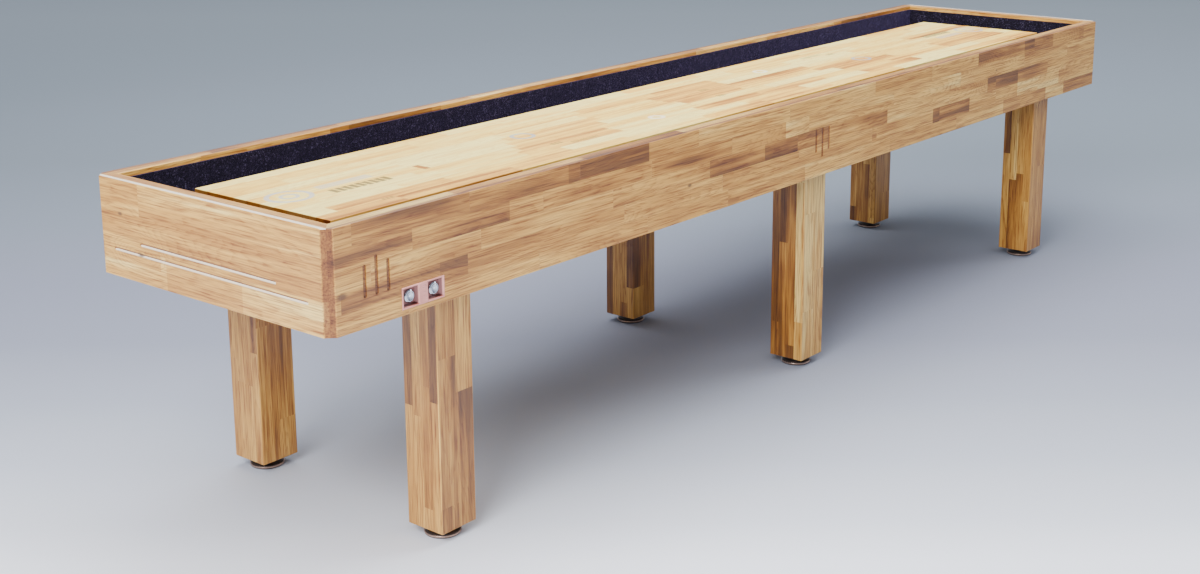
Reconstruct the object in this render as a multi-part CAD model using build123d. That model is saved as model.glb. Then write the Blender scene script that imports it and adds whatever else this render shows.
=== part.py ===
"""Twelve-foot shuffleboard table: mitred cabinet on six legs, carpeted gutters, raised playfield slab.

Frame: millimetres, +Z up, +X along the table, origin on the floor under the middle of the table.
The near end is at -X.  The front side, which carries the two score buttons, is at -Y.
"""
import os

from build123d import *

# -------------------- driving dimensions
TABLE_LENGTH = 3660.0
TABLE_WIDTH = 783.0
TABLE_HEIGHT = 800.0
SIDE_DEPTH = 227.0
BOARD = 38.0
CORNER_CUT = 20.0
EDGE_ROUND = 1.5

PLAYFIELD_LENGTH = 3354.0
PLAYFIELD_WIDTH = 460.0
PLAYFIELD_THICKNESS = 64.0
PLAYFIELD_DROP = 38.0

GUTTER_DROP = 146.0
GUTTER_FLOOR = 12.0
CARPET = 5.0
CARPET_DROP = 12.0

LEG = 108.0
LEG_ROUND = 2.5
LEG_END_INSET = 322.0
LEG_SIDE_INSET = 29.0
FOOT_HEIGHT = 25.0
FOOT_TRAVEL = 25.0

BEARER_WIDTH = 120.0
BEARER_THICKNESS = 45.0
STRINGER_WIDTH = 40.0
STRINGER_SETBACK = 15.0
CRADLE_END_GAP = 27.0
RIB = 30.0
RIB_COUNT = 7
LEDGER = 20.0
CORNER_BLOCK = 60.0

RUNNING_GAP = 0.05
CUT_PAST = 1.0

# -------------------- levels and planes worked out from them
END_X = TABLE_LENGTH / 2
SIDE_Y = TABLE_WIDTH / 2
INNER_X = END_X - BOARD
INNER_Y = SIDE_Y - BOARD
RAIL_BOTTOM = TABLE_HEIGHT - SIDE_DEPTH
PLAYFIELD_TOP = TABLE_HEIGHT - PLAYFIELD_DROP
PLAYFIELD_BOTTOM = PLAYFIELD_TOP - PLAYFIELD_THICKNESS
GUTTER_TOP = TABLE_HEIGHT - GUTTER_DROP
GUTTER_BOTTOM = GUTTER_TOP - GUTTER_FLOOR
CARPET_TOP = TABLE_HEIGHT - CARPET_DROP
BEARER_TOP = RAIL_BOTTOM + BEARER_THICKNESS
STRINGER_OUTER_Y = PLAYFIELD_WIDTH / 2 - STRINGER_SETBACK
STRINGER_INNER_Y = STRINGER_OUTER_Y - STRINGER_WIDTH
CRADLE_X = PLAYFIELD_LENGTH / 2 - CRADLE_END_GAP
LEG_X = END_X - LEG_END_INSET - LEG / 2
LEG_Y = SIDE_Y - LEG_SIDE_INSET - LEG / 2
LEG_STATIONS = {"near": -LEG_X, "mid": 0.0, "far": LEG_X}
SIDES = {"front": -1, "back": 1}

os.makedirs("parts", exist_ok=True)


# -------------------- helpers
def block(x_range, y_range, z_range):
    """A box between two limits on each axis."""
    spans = [high - low for low, high in (x_range, y_range, z_range)]
    middle = [(low + high) / 2 for low, high in (x_range, y_range, z_range)]
    return Pos(*middle) * Box(*spans)


def rod(x, y, z_low, z_high, radius):
    """An upright cylinder."""
    return Pos(x, y, (z_low + z_high) / 2) * Cylinder(radius, z_high - z_low)


def cross_rod(x, z, y_low, y_high, radius):
    """A cylinder along Y."""
    return Pos(x, (y_low + y_high) / 2, z) * Rot(90, 0, 0) * Cylinder(radius, y_high - y_low)


def hexagon(x, y, z_low, z_high, across_flats):
    """An upright hexagonal prism."""
    outline = RegularPolygon(across_flats / 2, 6, major_radius=False)
    return Pos(x, y, z_low) * extrude(outline, z_high - z_low)


def cross_hexagon(x, z, y_low, y_high, across_flats):
    """A hexagonal prism along Y."""
    outline = RegularPolygon(across_flats / 2, 6, major_radius=False)
    return Pos(x, y_high, z) * Rot(90, 0, 0) * extrude(outline, y_high - y_low)


def turned(profile_points):
    """A solid of revolution about Z from a closed (radius, height) outline."""
    outline = Plane.XZ * Polygon(*profile_points, align=None)
    return revolve(outline, Axis.Z)


def save(node, *solids):
    """Write one node; identical fasteners arrive as several solids in one node."""
    pieces = [solid for shape in solids for solid in shape.solids()]
    shape = pieces[0] if len(pieces) == 1 else Compound(pieces)
    export_step(shape, f"parts/{node}.step")


# -------------------- fasteners used throughout
SCREW_RADIUS = 2.0
SCREW_LENGTH = 22.0
SCREW_HEAD_RADIUS = 4.0
SCREW_HEAD = 2.4
SCREW_HEAD_EDGE = 0.8

wood_screws = []
screw_pilots = {}


def drive_screw(seat, direction, into):
    """Place a wood screw with its head on `seat`, and record its pilot hole in the nodes of `into`."""
    plane = Plane(origin=seat, z_dir=direction)
    shank = plane * Pos(0, 0, SCREW_LENGTH / 2) * Cylinder(SCREW_RADIUS, SCREW_LENGTH)
    head = plane * Pos(0, 0, -SCREW_HEAD / 2) * Cylinder(SCREW_HEAD_RADIUS, SCREW_HEAD)
    rim = head.faces().sort_by(plane_axis(plane))[0].edges()
    wood_screws.append(shank + chamfer(rim, SCREW_HEAD_EDGE))
    for node in into:
        screw_pilots.setdefault(node, []).append(shank)


def plane_axis(plane):
    """The axis along a plane's normal."""
    return Axis(plane.origin, plane.z_dir)


def drilled(node, solid):
    """Cut the recorded pilot holes of a node out of its solid."""
    pilots = screw_pilots.get(node, [])
    return solid - pilots if pilots else solid


# -------------------- steel angles: bearers to rails, slab to cradle
ANGLE_LEAF = 40.0
ANGLE_THICKNESS = 3.0
BEARER_ANGLE_HEIGHT = 36.0
SLAB_ANGLE_WIDTH = 36.0
SLAB_ANGLE_X = (-1362.0, -680.0, 680.0, 1362.0)
ANGLE_SCREW_OFFSET = 24.0
ANGLE_SCREW_SPREAD = 9.0

steel_angles = []


def bearer_angle(x_face, x_side, y_side, bearer):
    """An upright angle in the corner between a bearer's side face and a rail's inner face."""
    rail_y = y_side * INNER_Y
    z_middle = (RAIL_BOTTOM + BEARER_TOP) / 2
    z_range = (z_middle - BEARER_ANGLE_HEIGHT / 2, z_middle + BEARER_ANGLE_HEIGHT / 2)
    along_rail = block(
        sorted((x_face, x_face + x_side * ANGLE_LEAF)),
        sorted((rail_y, rail_y - y_side * ANGLE_THICKNESS)),
        z_range,
    )
    along_bearer = block(
        sorted((x_face, x_face + x_side * ANGLE_THICKNESS)),
        sorted((rail_y, rail_y - y_side * ANGLE_LEAF)),
        z_range,
    )
    angle = along_rail + along_bearer
    rail_node = "front_rail" if y_side < 0 else "back_rail"
    first_screw = len(wood_screws)
    for z_offset in (-ANGLE_SCREW_SPREAD, ANGLE_SCREW_SPREAD):
        z_screw = z_middle + z_offset
        rail_seat = (x_face + x_side * ANGLE_SCREW_OFFSET, rail_y - y_side * ANGLE_THICKNESS, z_screw)
        drive_screw(rail_seat, (0, y_side, 0), [rail_node])
        bearer_seat = (x_face + x_side * ANGLE_THICKNESS, rail_y - y_side * ANGLE_SCREW_OFFSET, z_screw)
        drive_screw(bearer_seat, (-x_side, 0, 0), [bearer])
    steel_angles.append(angle - wood_screws[first_screw:])


def slab_angle(x, side):
    """An angle that ties the underside of the playfield slab to the inner face of a stringer."""
    stringer_y = side * STRINGER_INNER_Y
    x_range = (x - SLAB_ANGLE_WIDTH / 2, x + SLAB_ANGLE_WIDTH / 2)
    upright = block(
        x_range,
        sorted((stringer_y, stringer_y - side * ANGLE_THICKNESS)),
        (PLAYFIELD_BOTTOM - ANGLE_LEAF, PLAYFIELD_BOTTOM),
    )
    flat = block(
        x_range,
        sorted((stringer_y, stringer_y - side * ANGLE_LEAF)),
        (PLAYFIELD_BOTTOM - ANGLE_THICKNESS, PLAYFIELD_BOTTOM),
    )
    angle = upright + flat
    stringer_node = "front_stringer" if side < 0 else "back_stringer"
    first_screw = len(wood_screws)
    for x_offset in (-ANGLE_SCREW_SPREAD, ANGLE_SCREW_SPREAD):
        x_screw = x + x_offset
        side_seat = (x_screw, stringer_y - side * ANGLE_THICKNESS, PLAYFIELD_BOTTOM - ANGLE_SCREW_OFFSET)
        drive_screw(side_seat, (0, side, 0), [stringer_node])
        slab_seat = (x_screw, stringer_y - side * ANGLE_SCREW_OFFSET, PLAYFIELD_BOTTOM - ANGLE_THICKNESS)
        drive_screw(slab_seat, (0, 0, 1), ["playfield"])
    steel_angles.append(angle - wood_screws[first_screw:])


for station, station_x in LEG_STATIONS.items():
    inward_sides = (-1, 1) if station == "mid" else (-1 if station_x > 0 else 1,)
    for x_side in inward_sides:
        for y_side in SIDES.values():
            bearer_angle(station_x + x_side * BEARER_WIDTH / 2, x_side, y_side, f"{station}_bearer")

for angle_x in SLAB_ANGLE_X:
    for y_side in SIDES.values():
        slab_angle(angle_x, y_side)

# -------------------- climatic adjusters under the slab
ADJUSTER_X = (-1226.0, -409.0, 409.0, 1226.0)
ADJUSTER_PLATE_Y = 150.0
ADJUSTER_PLATE_WIDTH = 60.0
ADJUSTER_PLATE_LEAF = 45.0
ADJUSTER_PLATE_THICKNESS = 5.0
ADJUSTER_ROD_RADIUS = 6.0
ADJUSTER_ROD_HALF_LENGTH = 168.0
ADJUSTER_ROD_DROP = 27.0
ADJUSTER_NUT = 10.0
ADJUSTER_NUT_ACROSS_FLATS = 19.0
ADJUSTER_SCREW_SPREAD = 18.0

adjuster_plates = []
adjuster_rods = []
adjuster_nuts = []
rod_z = PLAYFIELD_BOTTOM - ADJUSTER_ROD_DROP

for adjuster_x in ADJUSTER_X:
    tie_rod = cross_rod(
        adjuster_x, rod_z, -ADJUSTER_ROD_HALF_LENGTH, ADJUSTER_ROD_HALF_LENGTH, ADJUSTER_ROD_RADIUS
    )
    adjuster_rods.append(tie_rod)
    for y_side in SIDES.values():
        outer_y = y_side * ADJUSTER_PLATE_Y
        inner_y = outer_y - y_side * ADJUSTER_PLATE_THICKNESS
        x_range = (adjuster_x - ADJUSTER_PLATE_WIDTH / 2, adjuster_x + ADJUSTER_PLATE_WIDTH / 2)
        upright_z = (PLAYFIELD_BOTTOM - ADJUSTER_PLATE_LEAF, PLAYFIELD_BOTTOM)
        upright = block(x_range, sorted((outer_y, inner_y)), upright_z)
        flat = block(
            x_range,
            sorted((outer_y, outer_y - y_side * ADJUSTER_PLATE_LEAF)),
            (PLAYFIELD_BOTTOM - ADJUSTER_PLATE_THICKNESS, PLAYFIELD_BOTTOM),
        )
        first_screw = len(wood_screws)
        for x_offset in (-ADJUSTER_SCREW_SPREAD, ADJUSTER_SCREW_SPREAD):
            seat = (
                adjuster_x + x_offset,
                outer_y - y_side * (ADJUSTER_PLATE_LEAF - 2 * SCREW_HEAD_RADIUS),
                PLAYFIELD_BOTTOM - ADJUSTER_PLATE_THICKNESS,
            )
            drive_screw(seat, (0, 0, 1), ["playfield"])
        adjuster_plates.append(upright + flat - wood_screws[first_screw:] - tie_rod)
        for nut_y in (outer_y, inner_y - y_side * ADJUSTER_NUT):
            nut_range = sorted((nut_y, nut_y + y_side * ADJUSTER_NUT))
            nut = cross_hexagon(adjuster_x, rod_z, *nut_range, ADJUSTER_NUT_ACROSS_FLATS)
            adjuster_nuts.append(nut - tie_rod)

save("adjuster_plates", *adjuster_plates)
save("adjuster_rods", *adjuster_rods)
save("adjuster_nuts", *adjuster_nuts)
save("steel_angles", *steel_angles)
save("wood_screws", *wood_screws)

# -------------------- score button plate: sizes shared with the front rail
BUTTON_PLATE_X = -1571.0
BUTTON_PLATE_Z = 610.0
BUTTON_PLATE_WIDTH = 124.0
BUTTON_PLATE_HEIGHT = 48.0
BUTTON_PLATE_PROUD = 2.0
BUTTON_TRAY_WIDTH = 120.0
BUTTON_TRAY_HEIGHT = 44.0
BUTTON_TRAY_WALL = 3.0
BUTTON_CUTOUT_GAP = 0.3
BUTTON_SPACING = 71.0
POCKET_WIDTH = 46.0
POCKET_HEIGHT = 42.0
POCKET_FLOOR = 32.0
POCKET_DEPTH = 9.0
PLATE_EDGE = 0.8

FRONT_Y = -SIDE_Y
PLATE_FACE_Y = FRONT_Y - BUTTON_PLATE_PROUD
POCKET_FLOOR_Y = PLATE_FACE_Y + POCKET_DEPTH
TRAY_BACK_Y = POCKET_FLOOR_Y + BUTTON_TRAY_WALL
BUTTON_X = {"a": BUTTON_PLATE_X - BUTTON_SPACING / 2, "b": BUTTON_PLATE_X + BUTTON_SPACING / 2}

# -------------------- cabinet boards, mitred at the corners
GROOVE_RADIUS = 4.5
SIDE_GROOVE_PITCH = 32.5
NEAR_GROOVE_X = -1700.5
NEAR_GROOVES = ((92.0, 163.0), (77.0, 163.0), (92.0, 163.0))
MID_GROOVE_X = -14.0
MID_GROOVES = ((90.0, 158.0), (90.0, 175.0), (90.0, 158.0))
END_GROOVES = ((137.5, 463.0), (162.0, 660.0))


def groove(start, finish):
    """A groove with a round bottom and round ends between two points on a face."""
    start = Vector(*start)
    finish = Vector(*finish)
    run = finish - start
    channel = Plane(origin=(start + finish) * 0.5, z_dir=run) * Cylinder(GROOVE_RADIUS, run.length)
    return channel + Pos(*start) * Sphere(GROOVE_RADIUS) + Pos(*finish) * Sphere(GROOVE_RADIUS)


def side_groove(x, drop_top, drop_bottom):
    """An upright groove in the front face of the front rail, between two distances below the top."""
    z_high = TABLE_HEIGHT - drop_top - GROOVE_RADIUS
    z_low = TABLE_HEIGHT - drop_bottom + GROOVE_RADIUS
    return groove((x, FRONT_Y, z_low), (x, FRONT_Y, z_high))


def end_groove(end, drop, length):
    """A level groove across the outer face of an end board."""
    reach = length / 2 - GROOVE_RADIUS
    return groove((end * END_X, -reach, TABLE_HEIGHT - drop), (end * END_X, reach, TABLE_HEIGHT - drop))


def mitred_board(half_length, face):
    """A mitred board along X with its outer face at Y = -face and half of the corner cut at each end."""
    cut = CORNER_CUT
    outline = Polygon(
        (-half_length + cut, -face),
        (half_length - cut, -face),
        (half_length - cut / 2, -face + cut / 2),
        (half_length - BOARD, -face + BOARD),
        (-half_length + BOARD, -face + BOARD),
        (-half_length + cut / 2, -face + cut / 2),
        align=None,
    )
    board = Pos(0, 0, RAIL_BOTTOM) * extrude(outline, SIDE_DEPTH)
    rounded = [
        edge
        for edge in board.edges().filter_by(Plane.XY)
        if edge.center().Y < -face + cut / 2 and abs(edge.center().X) < half_length - cut / 2
    ]
    board = fillet(rounded, EDGE_ROUND)
    inner_top = [
        edge
        for edge in board.edges().filter_by(Axis.X)
        if edge.center().Y > -face + BOARD - 1 and edge.center().Z > TABLE_HEIGHT - 1
    ]
    return fillet(inner_top, EDGE_ROUND)


front_rail = mitred_board(END_X, SIDE_Y)
back_rail = Rot(0, 0, 180) * front_rail
end_board = mitred_board(SIDE_Y, END_X)
near_end_board = Rot(0, 0, -90) * end_board
far_end_board = Rot(0, 0, 90) * end_board

for index, (drop_top, drop_bottom) in enumerate(NEAR_GROOVES):
    front_rail -= side_groove(NEAR_GROOVE_X + (index - 1) * SIDE_GROOVE_PITCH, drop_top, drop_bottom)
for index, (drop_top, drop_bottom) in enumerate(MID_GROOVES):
    front_rail -= side_groove(MID_GROOVE_X + (index - 1) * SIDE_GROOVE_PITCH, drop_top, drop_bottom)
for drop, length in END_GROOVES:
    near_end_board -= end_groove(-1, drop, length)
    far_end_board -= end_groove(1, drop, length)

cutout_half_width = BUTTON_TRAY_WIDTH / 2 + BUTTON_CUTOUT_GAP
cutout_half_height = BUTTON_TRAY_HEIGHT / 2 + BUTTON_CUTOUT_GAP
front_rail -= block(
    (BUTTON_PLATE_X - cutout_half_width, BUTTON_PLATE_X + cutout_half_width),
    (FRONT_Y - CUT_PAST, -INNER_Y + CUT_PAST),
    (BUTTON_PLATE_Z - cutout_half_height, BUTTON_PLATE_Z + cutout_half_height),
)

save("front_rail", drilled("front_rail", front_rail))
save("back_rail", drilled("back_rail", back_rail))
save("near_end_board", near_end_board)
save("far_end_board", far_end_board)


# -------------------- corner blocks and gutter ledgers
def corner_block(x_side, y_side):
    """A triangular glue block inside a mitred corner."""
    x_wall = x_side * INNER_X
    y_wall = y_side * INNER_Y
    outline = Polygon(
        (x_wall, y_wall),
        (x_wall - x_side * CORNER_BLOCK, y_wall),
        (x_wall, y_wall - y_side * CORNER_BLOCK),
        align=None,
    )
    return Pos(0, 0, RAIL_BOTTOM) * extrude(outline, GUTTER_BOTTOM - LEDGER - RAIL_BOTTOM, dir=(0, 0, 1))


save("corner_blocks", *[corner_block(x_side, y_side) for x_side in (-1, 1) for y_side in (-1, 1)])

ledger_z = (GUTTER_BOTTOM - LEDGER, GUTTER_BOTTOM)
ledgers = []
for side in (-1, 1):
    rail_y = sorted((side * INNER_Y, side * (INNER_Y - LEDGER)))
    ledgers.append(block((-INNER_X, INNER_X), rail_y, ledger_z))
    ledgers.append(
        block(
            (-CRADLE_X, CRADLE_X),
            sorted((side * STRINGER_OUTER_Y, side * (STRINGER_OUTER_Y + LEDGER))),
            ledger_z,
        )
    )
    ledgers.append(
        block(
            sorted((side * INNER_X, side * (INNER_X - LEDGER))),
            (-INNER_Y + LEDGER, INNER_Y - LEDGER),
            ledger_z,
        )
    )
    ledgers.append(
        block(
            sorted((side * CRADLE_X, side * (CRADLE_X + LEDGER))),
            (-STRINGER_OUTER_Y, STRINGER_OUTER_Y),
            ledger_z,
        )
    )
save("gutter_ledgers", *ledgers)

# -------------------- bearers across the cabinet, one over each pair of legs
BOLT_RADIUS = 5.0
BOLT_SPREAD = 30.0
BOLT_INTO_LEG = 50.0
BOLT_TOP = BEARER_TOP + 14.0
WASHER = 2.0
WASHER_RADIUS = 10.5
NUT = 8.0
NUT_ACROSS_FLATS = 17.0

bolt_places = {
    (station, side): [(station_x + offset, SIDES[side] * LEG_Y) for offset in (-BOLT_SPREAD, BOLT_SPREAD)]
    for station, station_x in LEG_STATIONS.items()
    for side in SIDES
}
leg_bolts = {
    place: [rod(x, y, RAIL_BOTTOM - BOLT_INTO_LEG, BOLT_TOP, BOLT_RADIUS) for x, y in centres]
    for place, centres in bolt_places.items()
}
all_bolts = [bolt for bolts in leg_bolts.values() for bolt in bolts]
washers = []
nuts = []
for centres in bolt_places.values():
    for x, y in centres:
        hole = rod(x, y, BEARER_TOP, BOLT_TOP, BOLT_RADIUS)
        washers.append(rod(x, y, BEARER_TOP, BEARER_TOP + WASHER, WASHER_RADIUS) - hole)
        nut = hexagon(x, y, BEARER_TOP + WASHER, BEARER_TOP + WASHER + NUT, NUT_ACROSS_FLATS)
        nuts.append(nut - hole)

save("leg_bolts", *all_bolts)
save("leg_washers", *washers)
save("leg_nuts", *nuts)

for station, station_x in LEG_STATIONS.items():
    bearer = block(
        (station_x - BEARER_WIDTH / 2, station_x + BEARER_WIDTH / 2),
        (-INNER_Y, INNER_Y),
        (RAIL_BOTTOM, BEARER_TOP),
    )
    bearer -= leg_bolts[(station, "front")] + leg_bolts[(station, "back")]
    save(f"{station}_bearer", drilled(f"{station}_bearer", bearer))

# -------------------- legs and levelling feet
INSERT_RADIUS = 9.0
INSERT_LENGTH = 25.0
INSERT_FLANGE_RADIUS = 15.0
INSERT_FLANGE = 2.0
STEM_RADIUS = 6.0
STEM_RESERVE = 15.0
STEM_HOLE_RADIUS = 7.0
STEM_HOLE_RESERVE = 5.0
STEM_SEAT = 4.0
STEM_HEX_ACROSS_FLATS = 13.0
LOCKNUT_ACROSS_FLATS = 19.0
LOCKNUT_BOTTOM = 19.0
BASE_RADIUS = 42.0
BASE_TOP = 12.0
BASE_RIM = 7.0
BASE_SHOULDER = 9.0
BASE_LIP = 1.0
BASE_SOLE_ROUND = 2.0
BASE_SLOPE = 4.0
BASE_BOSS_RADIUS = 14.0
STEM_CHAMFER = 1.0
HEX_CLEARANCE_BELOW = 0.3
HEX_CLEARANCE_ABOVE = 0.5
STEM_HEX_BOTTOM = BASE_TOP + HEX_CLEARANCE_BELOW
STEM_HEX_TOP = LOCKNUT_BOTTOM - HEX_CLEARANCE_ABOVE

bore_radius = STEM_RADIUS + RUNNING_GAP
insert_top = FOOT_HEIGHT + INSERT_LENGTH
stem_top = insert_top + FOOT_TRAVEL + STEM_RESERVE
stem_hole_top = stem_top + STEM_HOLE_RESERVE

foot_base = turned(
    (
        (0, 0),
        (BASE_RADIUS - BASE_SOLE_ROUND, 0),
        (BASE_RADIUS, BASE_SOLE_ROUND),
        (BASE_RADIUS, BASE_RIM),
        (BASE_RADIUS - BASE_LIP, BASE_RIM),
        (BASE_RADIUS - BASE_LIP, BASE_SHOULDER),
        (BASE_RADIUS - BASE_SLOPE, BASE_TOP - BASE_LIP),
        (BASE_BOSS_RADIUS, BASE_TOP),
        (bore_radius, BASE_TOP),
        (bore_radius, STEM_SEAT),
        (0, STEM_SEAT),
    )
)
foot_stem = rod(0, 0, STEM_SEAT, stem_top, STEM_RADIUS) + hexagon(
    0, 0, STEM_HEX_BOTTOM, STEM_HEX_TOP, STEM_HEX_ACROSS_FLATS
)
foot_stem = chamfer(foot_stem.faces().sort_by(Axis.Z)[-1].edges(), STEM_CHAMFER)

insert_bore = rod(0, 0, LOCKNUT_BOTTOM - CUT_PAST, insert_top + CUT_PAST, bore_radius)
insert_shell = rod(0, 0, FOOT_HEIGHT, insert_top, INSERT_RADIUS) + rod(
    0, 0, FOOT_HEIGHT, FOOT_HEIGHT + INSERT_FLANGE, INSERT_FLANGE_RADIUS
)
threaded_insert = insert_shell - insert_bore
locknut = hexagon(0, 0, LOCKNUT_BOTTOM, FOOT_HEIGHT, LOCKNUT_ACROSS_FLATS) - insert_bore

inserts = []
locknuts = []
for station, station_x in LEG_STATIONS.items():
    for side, y_side in SIDES.items():
        place = Pos(station_x, y_side * LEG_Y, 0)
        square = Pos(0, 0, FOOT_HEIGHT) * extrude(Rectangle(LEG, LEG), RAIL_BOTTOM - FOOT_HEIGHT)
        square = fillet(square.edges().filter_by(Axis.Z), LEG_ROUND)
        square = chamfer(square.faces().sort_by(Axis.Z)[0].edges(), EDGE_ROUND)
        square -= insert_shell + rod(0, 0, FOOT_HEIGHT, stem_hole_top, STEM_HOLE_RADIUS)
        save(f"{side}_leg_{station}", place * square - leg_bolts[(station, side)])
        save(f"{side}_foot_base_{station}", place * foot_base)
        save(f"{side}_foot_stem_{station}", place * foot_stem)
        inserts.append(place * threaded_insert)
        locknuts.append(place * locknut)
save("foot_inserts", *inserts)
save("foot_locknuts", *locknuts)

# -------------------- playfield cradle and slab
for side, y_side in SIDES.items():
    stringer = block(
        (-CRADLE_X, CRADLE_X),
        sorted((y_side * STRINGER_INNER_Y, y_side * STRINGER_OUTER_Y)),
        (BEARER_TOP, PLAYFIELD_BOTTOM),
    )
    save(f"{side}_stringer", drilled(f"{side}_stringer", stringer))

rib_pitch = 2 * (CRADLE_X - RIB / 2) / (RIB_COUNT - 1)
rib_centres = [-CRADLE_X + RIB / 2 + index * rib_pitch for index in range(RIB_COUNT)]
cradle_ribs = [
    block(
        (centre - RIB / 2, centre + RIB / 2),
        (-STRINGER_INNER_Y, STRINGER_INNER_Y),
        (BEARER_TOP, PLAYFIELD_BOTTOM),
    )
    for centre in rib_centres
]
save("cradle_ribs", *cradle_ribs)

playfield = block(
    (-PLAYFIELD_LENGTH / 2, PLAYFIELD_LENGTH / 2),
    (-PLAYFIELD_WIDTH / 2, PLAYFIELD_WIDTH / 2),
    (PLAYFIELD_BOTTOM, PLAYFIELD_TOP),
)
playfield = fillet(playfield.faces().sort_by(Axis.Z)[-1].edges(), EDGE_ROUND)
save("playfield", drilled("playfield", playfield))

# -------------------- gutter floors and their carpet
for side, y_side in SIDES.items():
    floor = block(
        (-CRADLE_X, CRADLE_X),
        sorted((y_side * STRINGER_OUTER_Y, y_side * INNER_Y)),
        (GUTTER_BOTTOM, GUTTER_TOP),
    )
    save(f"{side}_gutter_floor", floor)
    wall_carpet = block(
        (-INNER_X, INNER_X),
        sorted((y_side * (INNER_Y - CARPET), y_side * INNER_Y)),
        (GUTTER_TOP, CARPET_TOP),
    )
    floor_carpet = block(
        (-CRADLE_X, CRADLE_X),
        sorted((y_side * STRINGER_OUTER_Y, y_side * INNER_Y)),
        (GUTTER_TOP, GUTTER_TOP + CARPET),
    )
    save(f"{side}_gutter_carpet", wall_carpet + floor_carpet)

for end, x_side in {"near": -1, "far": 1}.items():
    floor = block(
        sorted((x_side * CRADLE_X, x_side * INNER_X)),
        (-INNER_Y, INNER_Y),
        (GUTTER_BOTTOM, GUTTER_TOP),
    )
    save(f"{end}_gutter_floor", floor)
    wall_carpet = block(
        sorted((x_side * (INNER_X - CARPET), x_side * INNER_X)),
        (-INNER_Y + CARPET, INNER_Y - CARPET),
        (GUTTER_TOP, CARPET_TOP),
    )
    floor_carpet = block(
        sorted((x_side * CRADLE_X, x_side * INNER_X)),
        (-INNER_Y + CARPET, INNER_Y - CARPET),
        (GUTTER_TOP, GUTTER_TOP + CARPET),
    )
    save(f"{end}_gutter_carpet", wall_carpet + floor_carpet)

# -------------------- score buttons
FLANGE_RADIUS = 15.0
FLANGE_HEIGHT = 4.0
FLANGE_TOP_RADIUS = 11.8
FLANGE_SHOULDER_RADIUS = 14.0
FLANGE_SHOULDER_DROP = 1.4
FLANGE_RIM_DROP = 3.0
BARREL_RADIUS = 12.5
BARREL_LENGTH = 26.0
CAP_BORE_RADIUS = 10.1
CAP_RADIUS = CAP_BORE_RADIUS - RUNNING_GAP
CAP_PROUD = 0.5
CAP_THICKNESS = 5.0
CAP_DISH = 1.0
CAP_CROWN_WIDTH = 4.0
CAP_EDGE_WIDTH = 1.2
CAP_EDGE_DROP = 0.8
PLUNGER_RADIUS = 3.0
PLUNGER_HOLE_RADIUS = 3.5
BARREL_END_WALL = 3.0
LENS_RADIUS = 2.2
LENS_DEPTH = 2.0
LENS_CROWN_DROP = 0.3
LENS_SHOULDER_DROP = 0.5
LENS_SHOULDER_WIDTH = 0.8
SPRING_RADIUS = 7.5
SPRING_WIRE_RADIUS = 0.6
SPRING_TURNS = 5
BUTTON_TRAVEL = 2.5
BARREL_NUT = 5.0
BARREL_NUT_ACROSS_FLATS = 30.0
SWITCH_LENGTH = 14.0
SWITCH_WIDTH = 16.0
SWITCH_HEIGHT = 12.0
SWITCH_POCKET = 4.0
PLUNGER_END_GAP = 0.5
TERMINAL_LENGTH = 7.0
TERMINAL_WIDTH = 4.8
TERMINAL_THICKNESS = 0.8
TERMINAL_PITCH = 7.0

BARREL_END_Y = POCKET_FLOOR_Y + BARREL_LENGTH
CAP_FACE_Y = POCKET_FLOOR_Y - FLANGE_HEIGHT - CAP_PROUD
CAP_BACK_Y = CAP_FACE_Y + CAP_THICKNESS
END_WALL_Y = BARREL_END_Y - BARREL_END_WALL
PLUNGER_END_Y = BARREL_END_Y + SWITCH_POCKET - BUTTON_TRAVEL - PLUNGER_END_GAP


def pocket(x):
    """The sloping square recess that a button sits in."""
    mouth = Plane(origin=(x, PLATE_FACE_Y, BUTTON_PLATE_Z), x_dir=(1, 0, 0), z_dir=(0, 1, 0))
    floor_plane = mouth.offset(POCKET_DEPTH)
    outlines = [
        mouth * Rectangle(POCKET_WIDTH, POCKET_HEIGHT),
        floor_plane * Rectangle(POCKET_FLOOR, POCKET_FLOOR),
    ]
    return loft(outlines)


def turned_along_y(x, profile_points):
    """A solid of revolution about a button's axis, from (radius, y) points."""
    outline = Pos(x, 0, BUTTON_PLATE_Z) * Polygon(*profile_points, align=None)
    return revolve(outline, Axis((x, 0, BUTTON_PLATE_Z), (0, 1, 0)))


plate = block(
    (BUTTON_PLATE_X - BUTTON_PLATE_WIDTH / 2, BUTTON_PLATE_X + BUTTON_PLATE_WIDTH / 2),
    (PLATE_FACE_Y, FRONT_Y),
    (BUTTON_PLATE_Z - BUTTON_PLATE_HEIGHT / 2, BUTTON_PLATE_Z + BUTTON_PLATE_HEIGHT / 2),
)
plate = chamfer(plate.faces().sort_by(Axis.Y)[0].edges(), PLATE_EDGE)
tray = block(
    (BUTTON_PLATE_X - BUTTON_TRAY_WIDTH / 2, BUTTON_PLATE_X + BUTTON_TRAY_WIDTH / 2),
    (FRONT_Y, TRAY_BACK_Y),
    (BUTTON_PLATE_Z - BUTTON_TRAY_HEIGHT / 2, BUTTON_PLATE_Z + BUTTON_TRAY_HEIGHT / 2),
)
button_plate = plate + tray
button_bodies = []
button_nuts = []
button_switches = []

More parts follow.
